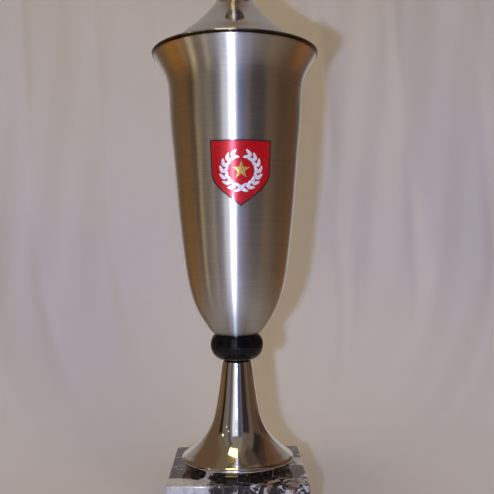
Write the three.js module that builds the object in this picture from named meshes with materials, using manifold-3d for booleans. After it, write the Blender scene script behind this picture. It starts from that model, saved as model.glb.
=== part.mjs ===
// A lidded cup trophy: a spun metal bowl with a lift-off lid, a turned black knop, a trumpet foot and a
// polished stone plinth, all clamped together by one threaded rod.
//
// Millimetres, +Z up. The table is z = 0, the rod runs along the Z axis, and the front faces -Y.
// Heights inside an outline are measured from that piece's own lower face.

import * as THREE from "three";
import { mergeVertices } from "three/addons/utils/BufferGeometryUtils.js";
import Module from "manifold-3d";

const wasm = await Module();
wasm.setup();

// ---------------------------------------------------------------------------------------------------
// Driving dimensions
// ---------------------------------------------------------------------------------------------------

const roundSides = 36; // facets of the large turned pieces
const smallSides = 20; // facets of the rods, washers and pads
const fitGap = 0.3; // clearance of a curved seat, and of the lid on the lip
const threadGap = 0.1; // radial clearance of a thread in its nut
const holeGap = 0.4; // radial clearance of a rod in a drilled or punched hole
const past = 1; // how far a cutter, or a piece to be joined, runs past a face

// Plinth and its pads
const plinthSide = 80;
const plinthHeight = 30;
const plinthChamfer = 0.8;
const counterboreRadius = 12;
const counterboreDepth = 11;
const padRadius = 6;
const padThickness = 1.5;
const padEdgeDistance = 10; // from the plinth's side to the pad's centre

// Threaded rod, M6, and what is screwed onto it
const rodRadius = 3;
const rodTail = 1.5; // how far a rod stands out of its nut
const nutAcrossFlats = 10;
const nutHeight = 5;
const baseWasherRadius = 9;
const baseWasherThickness = 1.6;
const springWasherRadius = 5.9;
const springWasherThickness = 1.6;
const springWasherSlit = 0.7;
const springWasherSlant = 25; // degrees off the axis
const capNutDomeRadius = 4.7;
const capNutBoreDepth = 7.5;
const bowlWasherRadius = 7.5;
const bowlWasherThickness = 1.2;
const sealRadius = 8;
const sealThickness = 1;
const gasketRadius = 8.5;
const gasketThickness = 0.8;

// Spun metal
const sheet = 0.8; // wall of the foot, the bowl and the lid

// Foot, a trumpet with a tucked-in skirt: radius and height of its outer face
const footHeight = 64;
const footShoulder = 2;
const footBottomRadius = 31.2;
const footRimRadius = 33.9;
const footRimHeight = 5.4;
const footRimRound = 1.1; // how far the rim's rounding cuts its corner back
const footFlare = [
  [33, 6.9],
  [28.9, 10],
  [22.6, 16],
  [16.9, 23],
  [13.3, 34],
  [10.8, 49],
  [8.9, 62],
];

// Knop: an elliptical bulge around a core
const knopCore = 7.7;
const knopBulge = 8.5;
const knopHalfHeight = 9.2;
const knopWeb = 12.2; // from the foot to the floor of the bowl's seat

// Bowl: radius and height of its outer face, from the flat bottom to the lip
const bowlOutline = [
  [9, 0],
  [13.4, 2.5],
  [18.2, 8],
  [23.4, 16],
  [28.1, 28],
  [31.8, 48],
  [35.2, 78],
  [38.2, 113],
  [40.3, 142],
  [42, 157.5],
  [45.6, 165],
  [49.5, 171.5],
];

// Lid: radius and height of its outer face, from the rolled edge to the neck
const lidEdgeRadius = 50.7;
const lidBead = 1.05; // radius of the rolled edge
const lidOutline = [
  [48.6, 2.15],
  [42.8, 3.2],
  [37.6, 7.4],
  [31.1, 13.4],
  [23.6, 19.3],
  [17.3, 26],
  [11.9, 32.6],
  [10.1, 38],
  [8.8, 49],
];
const lidShoulder = 1.5;
const collarHeight = 6.1; // how far the locating collar reaches below the lip
const collarFlange = 3.2;

// Finial
const finialRodRadius = 2; // M4
const finialKnobRadius = 10.5;
const finialKnobHeight = 13;
const finialKnobLand = 5.5; // flat where the knob meets the lid's neck and the tip
const finialTipHeight = 19;
const finialTipBore = 8.5; // depth of its threaded hole
const finialTip = [
  [5, 0],
  [5, 1.2],
  [3.6, 2.6],
  [2.9, 4.2],
  [3.2, 6.2],
  [4.9, 9],
  [5.2, 11],
  [4, 14],
  [2, 16.8],
  [0.6, 18.6],
];
const finialNutAcrossFlats = 7;
const finialNutHeight = 3.2;
const finialWasherRadius = 4.5;
const finialWasherThickness = 0.8;

// Shield badge, a printed foil label stuck on the bowl's front
const badgeWidth = 34;
const badgeHeight = 37;
const badgeThickness = 0.4;
const badgeGlue = 0.2; // how far its back stands off the bowl
const badgeMiddle = 96.5; // height of its middle above the bowl's bottom
const badgeTurn = 4.7; // degrees round the bowl from the plinth's front, towards +X

// ---------------------------------------------------------------------------------------------------
// Heights, worked out up the stack
// ---------------------------------------------------------------------------------------------------

const plinthBase = padThickness;
const plinthTop = plinthBase + plinthHeight;
const counterboreTop = plinthBase + counterboreDepth;
const springWasherTop = counterboreTop - baseWasherThickness;
const baseNutTop = springWasherTop - springWasherThickness;
const rodBottom = baseNutTop - nutHeight - rodTail;

const footTop = plinthTop + footHeight;
const bowlSeat = footTop + knopWeb;
const bowlBottom = bowlSeat + gasketThickness;
const bowlFloor = bowlBottom + sheet;
const sealTop = bowlFloor + sealThickness;
const capNutBottom = sealTop + bowlWasherThickness;
const rodTop = capNutBottom + capNutBoreDepth - threadGap;

const bowlLip = bowlBottom + bowlOutline.at(-1)[1];
const lidBottom = bowlLip + fitGap;

// ---------------------------------------------------------------------------------------------------
// Helpers
// ---------------------------------------------------------------------------------------------------

const vec = (r, z) => new THREE.Vector2(r, z);

// A smooth curve through the outline's points, as steps + 1 points.
const smooth = (outline, steps) =>
  new THREE.SplineCurve(outline.map(([r, z]) => vec(r, z))).getPoints(steps);

// A point of an ellipse in the profile plane; the angle is in degrees from the radial direction, upwards.
function onEllipse(centreR, centreZ, radiusR, radiusZ, degrees) {
  const a = THREE.MathUtils.degToRad(degrees);
  return vec(centreR + radiusR * Math.cos(a), centreZ + radiusZ * Math.sin(a));
}

const arc = (centreR, centreZ, radiusR, radiusZ, from, to, steps) =>
  Array.from({ length: steps + 1 }, (_, i) =>
    onEllipse(centreR, centreZ, radiusR, radiusZ, from + ((to - from) * i) / steps),
  );

// The line beside a profile, at a distance to its left as it is walked.
function beside(points, distance) {
  return points.map((p, i) => {
    const a = points[Math.max(i - 1, 0)];
    const b = points[Math.min(i + 1, points.length - 1)];
    const along = vec(b.x - a.x, b.y - a.y).normalize();
    return vec(p.x - along.y * distance, p.y + along.x * distance);
  });
}

// Every other point of a profile, with its last: enough for a face nobody sees close to.
const thinned = (points) =>
  points.filter((_, i) => i % 2 === 0 || i === points.length - 1);

// The height of a profile where it passes a radius; the profile's radii only fall or only rise.
function heightAt(points, radius) {
  const i = points.findIndex(
    (p, k) => k > 0 && (p.x - radius) * (points[k - 1].x - radius) <= 0,
  );
  const [a, b] = [points[i - 1], points[i]];
  return a.y + ((b.y - a.y) * (radius - a.x)) / (b.x - a.x);
}

// The radius of a rising profile at a height.
function radiusAt(points, height) {
  const i = Math.max(1, points.findIndex((p) => p.y >= height));
  const [a, b] = [points[i - 1], points[i]];
  return a.x + ((b.x - a.x) * (height - a.y)) / (b.y - a.y);
}

// Turns a closed profile, walked anticlockwise in radius and height, about the Z axis.
function turned(profile, sides = roundSides) {
  const onAxis = profile[0].x === 0 && profile.at(-1).x === 0;
  const closed = onAxis ? profile : [...profile, profile[0].clone()];
  return new THREE.LatheGeometry(closed, sides).rotateX(Math.PI / 2);
}

// A plain ring between two radii and two heights.
const ring = (inner, outer, bottom, top) =>
  turned(
    [vec(inner, bottom), vec(outer, bottom), vec(outer, top), vec(inner, top)],
    smallSides,
  );

// A plain rod standing on a height.
const rod = (radius, bottom, top) =>
  turned(
    [vec(0, bottom), vec(radius, bottom), vec(radius, top), vec(0, top)],
    smallSides,
  );

function solid(geometry) {
  const bare = geometry.clone();
  bare.deleteAttribute("normal");
  bare.deleteAttribute("uv");
  const merged = mergeVertices(bare, 1e-4);
  return new wasm.Manifold(
    new wasm.Mesh({
      numProp: 3,
      vertProperties: merged.attributes.position.array,
      triVerts: new Uint32Array(merged.index.array),
    }),
  );
}

function geometryOf(manifold) {
  const mesh = manifold.getMesh();
  const geometry = new THREE.BufferGeometry();
  geometry.setAttribute(
    "position",
    new THREE.BufferAttribute(mesh.vertProperties, 3),
  );
  geometry.setIndex(new THREE.BufferAttribute(mesh.triVerts, 1));
  geometry.computeVertexNormals();
  return geometry;
}

const cut = (from, ...tools) =>
  geometryOf(tools.reduce((left, tool) => left.subtract(solid(tool)), solid(from)));

// ---------------------------------------------------------------------------------------------------
// Materials
// ---------------------------------------------------------------------------------------------------

const finish = (color, roughness, metalness) =>
  new THREE.MeshStandardMaterial({ color, roughness, metalness });

const brushedMetal = finish(0xb9b8bb, 0.38, 1);
const polishedMetal = finish(0xd6d3cf, 0.08, 1);
const blackResin = finish(0x0a0a0c, 0.08, 0);
const stone = finish(0x1d1a1c, 0.12, 0);
const felt = finish(0x1c1d1c, 0.95, 0);
const zincSteel = finish(0x9c9ea0, 0.35, 1);
const nylon = finish(0xd8d6cc, 0.5, 0);
const rubber = finish(0x161616, 0.8, 0);
const printedFoil = finish(0xb3121d, 0.18, 0);

// The lid is a group of its own, because it lifts off.
const trophy = new THREE.Group();
const lid = new THREE.Group();
lid.position.z = lidBottom;
trophy.add(lid);

function place(name, geometry, material, height = 0, into = trophy) {
  const mesh = new THREE.Mesh(geometry, material);
  mesh.name = name;
  mesh.position.z = height;
  into.add(mesh);
  return mesh;
}

// ---------------------------------------------------------------------------------------------------
// Plinth: a polished stone block, counterbored underneath, on four felt pads
// ---------------------------------------------------------------------------------------------------

function plinthBlock() {
  const flat = plinthSide / 2 - plinthChamfer;
  const outline = new THREE.Shape([
    vec(-flat, -flat),
    vec(flat, -flat),
    vec(flat, flat),
    vec(-flat, flat),
  ]);
  const block = new THREE.ExtrudeGeometry(outline, {
    depth: plinthHeight - 2 * plinthChamfer,
    bevelSize: plinthChamfer,
    bevelThickness: plinthChamfer,
    bevelSegments: 1,
  }).translate(0, 0, plinthBase + plinthChamfer);
  return cut(
    block,
    rod(rodRadius + holeGap, plinthBase - past, plinthTop + past),
    rod(counterboreRadius, plinthBase - past, counterboreTop),
  );
}

place("marble_base", plinthBlock(), stone);

const padOffset = plinthSide / 2 - padEdgeDistance;
[
  [-1, -1],
  [1, -1],
  [1, 1],
  [-1, 1],
].forEach(([sideX, sideY], i) => {
  const pad = rod(padRadius, 0, padThickness);
  pad.translate(sideX * padOffset, sideY * padOffset, 0);
  place(`felt_pad_${i + 1}`, pad, felt);
});

// ---------------------------------------------------------------------------------------------------
// Foot: a spun trumpet whose rim tucks in to a skirt that stands on the stone
// ---------------------------------------------------------------------------------------------------

function footShell() {
  const skirt = [
    vec(footBottomRadius, 0),
    vec(footRimRadius - footRimRound, footRimHeight - 2 * footRimRound),
    vec(footRimRadius, footRimHeight),
  ];
  const flare = smooth(footFlare, 12);
  const shoulder = arc(
    footFlare.at(-1)[0] - footShoulder,
    footHeight - footShoulder,
    footShoulder,
    footShoulder,
    18,
    90,
    2,
  );
  const outer = [...skirt, ...flare, ...shoulder];
  const inner = thinned(beside(outer, sheet));
  inner[0].y = 0;
  inner.at(-1).y = footHeight - sheet;
  const hole = rodRadius + holeGap;
  return turned([
    ...outer,
    vec(hole, footHeight),
    vec(hole, footHeight - sheet),
    ...inner.reverse(),
  ]);
}

place("foot_shell", footShell(), polishedMetal, plinthTop);

// ---------------------------------------------------------------------------------------------------
// Bowl, and the knop whose dished top follows the bowl's bottom
// ---------------------------------------------------------------------------------------------------

const bowlOuter = smooth(bowlOutline, 16);

function bowlShell() {
  const hole = rodRadius + holeGap;
  const inner = thinned(beside(bowlOuter, sheet));
  inner[0] = vec(bowlOutline[0][0] - sheet / 2, sheet);
  inner.at(-1).y = bowlOuter.at(-1).y;
  return turned([
    vec(hole, 0),
    ...bowlOuter,
    ...inner.reverse(),
    vec(hole, sheet),
  ]);
}

place("bowl", bowlShell(), brushedMetal, bowlBottom);

// The knop's bulge, from its foot up to where it comes inside the bowl's line.
function knopBulgePoints(bowlLine) {
  const ellipse = [knopCore, knopHalfHeight, knopBulge, knopHalfHeight];
  const quarter = Array.from({ length: 90 }, (_, degrees) => degrees);
  const rimAngle = quarter.findLast((degrees) => {
    const p = onEllipse(...ellipse, degrees);
    return p.y < bowlLine[0].y || p.x > radiusAt(bowlLine, p.y) + fitGap;
  });
  return arc(...ellipse, -90, rimAngle, 10);
}

function knopBody() {
  const hole = rodRadius + holeGap;
  const bowlAbove = knopWeb + gasketThickness; // the bowl's bottom, above the knop's
  const bowlLine = beside(bowlOuter, -fitGap).map((p) => vec(p.x, p.y + bowlAbove));
  const bulge = knopBulgePoints(bowlLine);
  const rim = bulge.at(-1);
  const dish = bowlLine.filter((p) => p.x < rim.x - fitGap && p.y > knopWeb);
  const dishFoot = vec(dish[0].x, knopWeb);
  return turned([
    vec(hole, 0),
    ...bulge,
    ...dish.reverse(),
    dishFoot,
    vec(hole, knopWeb),
  ]);
}

place("knop", knopBody(), blackResin, footTop);
place(
  "bowl_gasket",
  ring(rodRadius + holeGap, gasketRadius, bowlSeat, bowlBottom),
  rubber,
);

// ---------------------------------------------------------------------------------------------------
// Threaded rod and its hardware
// ---------------------------------------------------------------------------------------------------

// A hexagon nut with its corners turned off above and below, before it is bored.
function hexBody(acrossFlats, height) {
  const corner = acrossFlats / Math.sqrt(3);
  const corners = Array.from({ length: 6 }, (_, i) =>
    vec(corner * Math.cos((i * Math.PI) / 3), corner * Math.sin((i * Math.PI) / 3)),
  );
  const prism = new THREE.ExtrudeGeometry(new THREE.Shape(corners), {
    depth: height,
    bevelEnabled: false,
  });
  const flatRadius = acrossFlats / 2;
  const turnedOff = (corner - flatRadius) * Math.tan(Math.PI / 6);
  const blank = turned(
    [
      vec(0, 0),
      vec(flatRadius, 0),
      vec(corner, turnedOff),
      vec(corner, height - turnedOff),
      vec(flatRadius, height),
      vec(0, height),
    ],
    smallSides,
  );
  return solid(prism).intersect(solid(blank));
}

function hexNut(acrossFlats, height, threadRadius) {
  const bore = rod(threadRadius + threadGap, -past, height + past);
  return geometryOf(hexBody(acrossFlats, height).subtract(solid(bore)));
}

function capNut() {
  const round = arc(0, nutHeight, capNutDomeRadius, capNutDomeRadius, 0, 90, 5);
  const dome = turned(
    [
      vec(0, nutHeight - past),
      vec(capNutDomeRadius, nutHeight - past),
      ...round.slice(0, -1),
      vec(0, nutHeight + capNutDomeRadius),
    ],
    smallSides,
  );
  const bore = rod(rodRadius + threadGap, -past, capNutBoreDepth);
  return geometryOf(
    hexBody(nutAcrossFlats, nutHeight).add(solid(dome)).subtract(solid(bore)),
  );
}

// A split spring washer, pressed flat: a ring with a slanting slit.
function splitRing() {
  const inner = rodRadius + holeGap;
  const length = springWasherRadius;
  const height = springWasherThickness + 4 * past;
  const slit = new THREE.BoxGeometry(length, springWasherSlit, height)
    .rotateX(THREE.MathUtils.degToRad(springWasherSlant))
    .translate((inner + length) / 2, 0, springWasherThickness / 2);
  return cut(ring(inner, springWasherRadius, 0, springWasherThickness), slit);
}

place("tie_rod", rod(rodRadius, rodBottom, rodTop), zincSteel);
place(
  "base_washer",
  ring(rodRadius + holeGap, baseWasherRadius, springWasherTop, counterboreTop),
  zincSteel,
);
place("spring_washer", splitRing(), zincSteel, baseNutTop);
place(
  "base_nut",
  hexNut(nutAcrossFlats, nutHeight, rodRadius),
  zincSteel,
  baseNutTop - nutHeight,
);
place("seal_washer", ring(rodRadius + holeGap, sealRadius, bowlFloor, sealTop), nylon);
place(
  "bowl_washer",
  ring(rodRadius + holeGap, bowlWasherRadius, sealTop, capNutBottom),
  zincSteel,
);
place("cap_nut", capNut(), polishedMetal, capNutBottom);

// ---------------------------------------------------------------------------------------------------
// Lid: a spun shell with a rolled edge, a locating collar inside it, and the finial
// ---------------------------------------------------------------------------------------------------

const lidOuter = smooth(lidOutline, 14);
const lidInner = beside(lidOuter, sheet);

function lidShell() {
  const beadCentre = lidEdgeRadius - lidBead;
  const bead = arc(beadCentre, lidBead, lidBead, lidBead, -162, 90, 7);
  const neck = lidOutline.at(-1);
  const shoulder = arc(
    neck[0] - lidShoulder,
    neck[1] - lidShoulder,
    lidShoulder,
    lidShoulder,
    30,
    90,
    2,
  );
  const outer = [...lidOuter.slice(0, -1), ...shoulder];
  const inner = thinned(beside(outer, sheet));
  inner.at(-1).y = neck[1] - sheet;
  const hole = finialRodRadius + holeGap;
  return turned([
    ...bead,
    ...outer,
    vec(hole, neck[1]),
    vec(hole, neck[1] - sheet),
    ...inner.reverse(),
  ]);
}

place("lid_shell", lidShell(), polishedMetal, 0, lid);

// The collar's lower edge just clears the bowl's wall; its flange lies against the lid's underside.
function lidCollar() {
  const bottom = -fitGap - collarHeight;
  const bowlWall = beside(bowlOuter, sheet);
  const lipHeight = bowlOuter.at(-1).y;
  const outer = radiusAt(bowlWall, lipHeight - collarHeight) - 2 * fitGap;
  const inner = outer - sheet;
  const flangeEnd = Math.min(outer + collarFlange, lidOuter[0].x - 2 * lidBead + sheet);
  const under = (radius) => heightAt(lidInner, radius) - fitGap;
  return turned([
    vec(inner, bottom),
    vec(outer, bottom),
    vec(outer, under(outer) - sheet),
    vec(flangeEnd, under(flangeEnd) - sheet),
    vec(flangeEnd, under(flangeEnd)),
    vec(inner, under(inner)),
  ]);
}

place("lid_collar", lidCollar(), zincSteel, 0, lid);

function finialKnob() {
  const hole = finialRodRadius + holeGap;
  const half = finialKnobHeight / 2;
  const bulge = arc(
    finialKnobLand,
    half,
    finialKnobRadius - finialKnobLand,
    half,
    -90,
    90,
    10,
  );
  return turned([vec(hole, 0), ...bulge, vec(hole, finialKnobHeight)], smallSides);
}

function finialTipBody() {
  const hole = finialRodRadius + threadGap;
  return turned(
    [
      vec(0, finialTipBore),
      vec(hole, finialTipBore),
      vec(hole, 0),
      ...finialTip.map(([r, z]) => vec(r, z)),
      vec(0, finialTipHeight),
    ],
    smallSides,
  );
}

const lidHeight = lidOutline.at(-1)[1];
const neckUnderside = lidHeight - sheet;
const finialNutTop = neckUnderside - finialWasherThickness;
const finialNutBottom = finialNutTop - finialNutHeight;
const finialTipBottom = lidHeight + finialKnobHeight;
const studTop = finialTipBottom + finialTipBore - threadGap;

place("finial_knob", finialKnob(), polishedMetal, lidHeight, lid);
place("finial_tip", finialTipBody(), polishedMetal, finialTipBottom, lid);
place(
  "finial_stud",
  rod(finialRodRadius, finialNutBottom - rodTail, studTop),
  zincSteel,
  0,
  lid,
);
place(
  "finial_washer",
  ring(finialRodRadius + holeGap, finialWasherRadius, finialNutTop, neckUnderside),
  zincSteel,
  0,
  lid,
);
place(
  "finial_nut",
  hexNut(finialNutAcrossFlats, finialNutHeight, finialRodRadius),
  zincSteel,
  finialNutBottom,
  lid,
);

// ---------------------------------------------------------------------------------------------------
// Shield badge: a thin label that follows the bowl's face
// ---------------------------------------------------------------------------------------------------

// Half the shield's width at a share of its height, from 0 at the point to 1 at the top edge. The
// sides curve in to the point below the middle, and are upright above it.
const shieldHalfWidth = (share) => Math.sin((Math.min(share / 0.5, 1) * Math.PI) / 2);

function wrappedShield() {
  const rows = 12;
  const columns = 6;
  const bluntPoint = 0.03; // the least width, as a share of the whole
  const middleRadius = radiusAt(bowlOuter, badgeMiddle);
  const positions = [];
  for (const off of [badgeGlue, badgeGlue + badgeThickness])
    for (let row = 0; row <= rows; row += 1)
      for (let column = 0; column <= columns; column += 1) {
        const share = row / rows;
        const half = (badgeWidth / 2) * Math.max(shieldHalfWidth(share), bluntPoint);
        const z = badgeMiddle + (share - 0.5) * badgeHeight;
        const radius = radiusAt(bowlOuter, z) + off;
        const turn = (((column / columns) * 2 - 1) * half) / middleRadius;
        positions.push(radius * Math.sin(turn), -radius * Math.cos(turn), z);
      }

  const index = [];
  const layer = (rows + 1) * (columns + 1);
  const at = (row, column, side) => side * layer + row * (columns + 1) + column;
  const quad = (a, b, c, d) => index.push(a, b, c, a, c, d);
  for (let row = 0; row < rows; row += 1) {
    const up = row + 1;
    for (let column = 0; column < columns; column += 1) {
      const next = column + 1;
      quad(at(row, column, 1), at(row, next, 1), at(up, next, 1), at(up, column, 1));
      quad(at(row, column, 0), at(up, column, 0), at(up, next, 0), at(row, next, 0));
    }
    quad(at(row, 0, 0), at(row, 0, 1), at(up, 0, 1), at(up, 0, 0));
    quad(at(row, columns, 0), at(up, columns, 0), at(up, columns, 1), at(row, columns, 1));
  }
  for (let column = 0; column < columns; column += 1) {
    const next = column + 1;
    quad(at(0, column, 0), at(0, next, 0), at(0, next, 1), at(0, column, 1));
    quad(at(rows, column, 0), at(rows, column, 1), at(rows, next, 1), at(rows, next, 0));
  }

  const geometry = new THREE.BufferGeometry();
  geometry.setAttribute("position", new THREE.Float32BufferAttribute(positions, 3));
  geometry.setIndex(index);
  geometry.computeVertexNormals();
  return geometry.rotateZ(THREE.MathUtils.degToRad(badgeTurn));
}

place("shield_badge", wrappedShield(), printedFoil, bowlBottom);

export default trophy;
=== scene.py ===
# %% [markdown]
# # A lidded cup trophy
#
# The real object is a stack of turned pieces on one threaded rod: a polished stone plinth, a spun
# trumpet foot, a black knop and a brushed bowl, with a loose lid on top. Almost every piece is a
# surface of revolution, so most of this lesson is about profiles, and about metal that reflects.
#
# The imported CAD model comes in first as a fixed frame. Each piece made here takes the place of one
# CAD node and rides on that node's body.

# %% Load the frame
import math

import bpy
import numpy as np
from mathutils import Matrix, Vector


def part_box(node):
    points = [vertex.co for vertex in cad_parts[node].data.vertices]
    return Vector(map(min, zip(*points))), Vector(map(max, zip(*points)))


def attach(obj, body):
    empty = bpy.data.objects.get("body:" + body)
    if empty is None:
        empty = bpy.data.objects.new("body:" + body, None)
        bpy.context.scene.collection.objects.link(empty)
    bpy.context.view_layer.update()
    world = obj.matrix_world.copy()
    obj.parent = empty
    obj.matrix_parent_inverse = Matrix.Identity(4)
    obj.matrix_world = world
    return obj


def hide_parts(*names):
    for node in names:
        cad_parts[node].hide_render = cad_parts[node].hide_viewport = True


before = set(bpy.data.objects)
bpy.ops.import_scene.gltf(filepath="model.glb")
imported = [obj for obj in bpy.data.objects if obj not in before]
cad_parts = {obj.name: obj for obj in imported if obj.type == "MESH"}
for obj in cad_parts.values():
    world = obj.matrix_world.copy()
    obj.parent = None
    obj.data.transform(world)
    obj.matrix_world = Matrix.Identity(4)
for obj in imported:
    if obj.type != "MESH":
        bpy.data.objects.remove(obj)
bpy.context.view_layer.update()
MM = 0.001

# %% [markdown]
# ## Where the pieces stand
#
# Each piece's own heights start at its lower face, as they do in the CAD source. The frame knows how
# high each node stands, so a piece is placed by asking it, and nothing is fitted by eye.


# %% Heights from the frame
def foot_of(node):
    """Height of a node's lowest point, in millimetres."""
    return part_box(node)[0].z / MM


def top_of(node):
    """Height of a node's highest point, in millimetres."""
    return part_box(node)[1].z / MM


bowl_z = foot_of("bowl")
lid_z = foot_of("lid_shell")
stone_top = top_of("marble_base")
print(f"stone top {stone_top:.1f} mm, bowl from {bowl_z:.1f} mm, lid from {lid_z:.1f} mm")

# %% [markdown]
# ## Curves for the profiles
#
# A polished surface shows every kink of its profile as a kink in the reflection. Joining the points by
# straight lines or by arcs would show, so the long profiles run through their points as a natural cubic
# spline, whose slope and bend are both continuous. Small rounds are arcs of an ellipse.


# %% Splines, arcs and offsets
def spline(points, count):
    """Natural cubic spline through points, by chord length.

    With knots t and second derivatives m, each stretch of width h is
    m0 (t1-t)^3/6h + m1 (t-t0)^3/6h + (y0/h - m0 h/6)(t1-t) + (y1/h - m1 h/6)(t-t0).
    """
    p = np.asarray(points, float)
    step = np.linalg.norm(np.diff(p, axis=0), axis=1)
    knots = np.concatenate([[0], np.cumsum(step)])
    size = len(p)
    system = np.eye(size)
    right = np.zeros_like(p)
    inner = np.arange(1, size - 1)
    system[inner, inner - 1] = step[:-1]
    system[inner, inner] = 2 * (step[:-1] + step[1:])
    system[inner, inner + 1] = step[1:]
    slope = np.diff(p, axis=0) / step[:, None]
    right[1:-1] = 6 * np.diff(slope, axis=0)
    bend = np.linalg.solve(system, right)
    t = np.linspace(0, knots[-1], count)
    k = np.clip(np.searchsorted(knots, t, side="right") - 1, 0, size - 2)
    h = step[k][:, None]
    before = (t - knots[k])[:, None]
    after = (knots[k + 1] - t)[:, None]
    return (
        bend[k] * after**3 / (6 * h)
        + bend[k + 1] * before**3 / (6 * h)
        + (p[k] / h - bend[k] * h / 6) * after
        + (p[k + 1] / h - bend[k + 1] * h / 6) * before
    )


def arc(centre, radii, start, end, count):
    """Points centre + (radius_r cos a, radius_z sin a), for a from start to end degrees."""
    a = np.radians(np.linspace(start, end, count))
    return np.array(centre) + np.stack([radii[0] * np.cos(a), radii[1] * np.sin(a)], 1)


def beside(line, distance):
    """Each point moved by distance to the left of the way the line runs."""
    along = np.gradient(line, axis=0)
    along /= np.linalg.norm(along, axis=1)[:, None]
    return line + distance * np.stack([-along[:, 1], along[:, 0]], 1)


def wall(outer, thickness):
    """A sheet's closed section: up the outer line, round the edge and back down the inner line."""
    inner = beside(outer, thickness)[::-1]
    middle = (outer[-1] + inner[0]) / 2
    edge = outer[-1] - middle
    turn = np.radians(np.linspace(30, 150, 5))[:, None]
    side = np.array([-edge[1], edge[0]])
    rounded = middle + np.cos(turn) * edge + np.sin(turn) * side
    return np.concatenate([outer, rounded, inner])


print("a quarter circle in 4 points:", arc((0, 0), (1, 1), 0, 90, 4).round(2).tolist())

# %% [markdown]
# ## One mesh builder for every piece
#
# A piece is a grid of points: rows along a profile, columns around the axis. The builder welds the seam
# by counting columns modulo their number, and turns a row that sits in one point into a pole. The UV
# map holds the turn around the axis in u and the true length along the profile, in metres, in v, so a
# brushed pattern can follow the metal.


# %% Grid to mesh
SHARP_DEGREES = 38  # two faces that meet at more than this keep a hard edge
SHELL_COLUMNS = 256  # columns around the large shells, where the outline shows most


def grid_mesh(name, points, closed_rows):
    """A mesh from points[row, column], in millimetres.

    Columns always close on themselves; rows do if closed_rows. A row whose points coincide is a pole.
    """
    points = np.asarray(points, float) * MM
    rows, columns, _ = points.shape
    pole = np.ptp(points, axis=1).max(axis=1) < 1e-9
    width = np.where(pole, 1, columns)
    first = np.concatenate([[0], np.cumsum(width)])
    index = first[:-1, None] + np.where(pole[:, None], 0, np.arange(columns)[None])
    vertices = points.reshape(-1, 3)[
        np.concatenate([r * columns + np.arange(w) for r, w in enumerate(width)])
    ]
    lower = np.arange(rows if closed_rows else rows - 1)
    upper = (lower + 1) % rows
    here = np.arange(columns)
    after = (here + 1) % columns
    corners = [(lower, here), (lower, after), (upper, after), (upper, here)]
    quads = np.stack([index[row][:, column] for row, column in corners], 2)
    step = np.linalg.norm(np.diff(points, axis=0), axis=2).mean(axis=1)
    length = np.concatenate([[0], np.cumsum(step)])
    v_low = length[lower]
    v_high = np.where(upper > lower, length[upper], v_low)
    u_here = here / columns
    u_after = (here + 1) / columns
    corners_uv = [(u_here, v_low), (u_after, v_low), (u_after, v_high), (u_here, v_high)]
    uv = np.stack(
        [np.stack(np.broadcast_arrays(u[None, :], v[:, None]), 2) for u, v in corners_uv], 2
    )
    plain = ~pole[lower] & ~pole[upper]
    faces = quads[plain].reshape(-1, 4).tolist()
    uvs = [uv[plain].reshape(-1, 2)]
    for keep, three in ((pole[lower], [0, 2, 3]), (pole[upper] & ~pole[lower], [0, 1, 2])):
        faces += quads[keep].reshape(-1, 4)[:, three].tolist()
        uvs.append(uv[keep].reshape(-1, 4, 2)[:, three].reshape(-1, 2))
    mesh = bpy.data.meshes.new(name)
    mesh.from_pydata(vertices.tolist(), [], faces)
    layer = mesh.uv_layers.new(name="wrap")
    layer.data.foreach_set("uv", np.concatenate(uvs).ravel())
    mesh.polygons.foreach_set("use_smooth", np.ones(len(mesh.polygons), bool))
    mesh.set_sharp_from_angle(angle=math.radians(SHARP_DEGREES))
    mesh.update()
    return mesh


def turns(columns):
    """Equal steps once round, in radians."""
    return np.arange(columns) * 2 * math.pi / columns


def round_axis(r, a, z):
    """Points (r cos a, r sin a, z), with the three stretched to one grid."""
    return np.stack(np.broadcast_arrays(r * np.cos(a), r * np.sin(a), z), -1)


def in_scene(name, data):
    """A new object for a mesh, lamp or camera, linked into the scene."""
    obj = bpy.data.objects.new(name, data)
    bpy.context.scene.collection.objects.link(obj)
    return obj


def piece(mesh, material, body, slot, *nodes):
    """An object named like its mesh, which rides on a body and stands for CAD nodes."""
    obj = in_scene(mesh.name, mesh)
    mesh.materials.append(material)
    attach(obj, body)
    if nodes:
        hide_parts(*nodes)
    return obj


def turned(name, profile, base=0.0, columns=192):
    """Surface of revolution: (r cos a, r sin a, z + base) for each profile point (r, z)."""
    profile = np.asarray(profile, float)
    on_axis = profile[0, 0] == 0 and profile[-1, 0] == 0
    points = round_axis(profile[:, :1], turns(columns), profile[:, 1:] + base)
    return grid_mesh(name, points, not on_axis)


trial = turned("trial", [(0, 0), (1, 0), (0, 1)], columns=6)
print("a turned cone has", len(trial.polygons), "faces")
bpy.data.meshes.remove(trial)

# %% [markdown]
# ## Shared surface effects
#
# Several finishes share the same marks: fine lines left by turning or brushing, greasy smudges on
# anything polished, and specks of dust. Each is a small node group, placed in a material with its own
# values. A group hands out only a value that changes over the surface; the shader stays outside.


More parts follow.
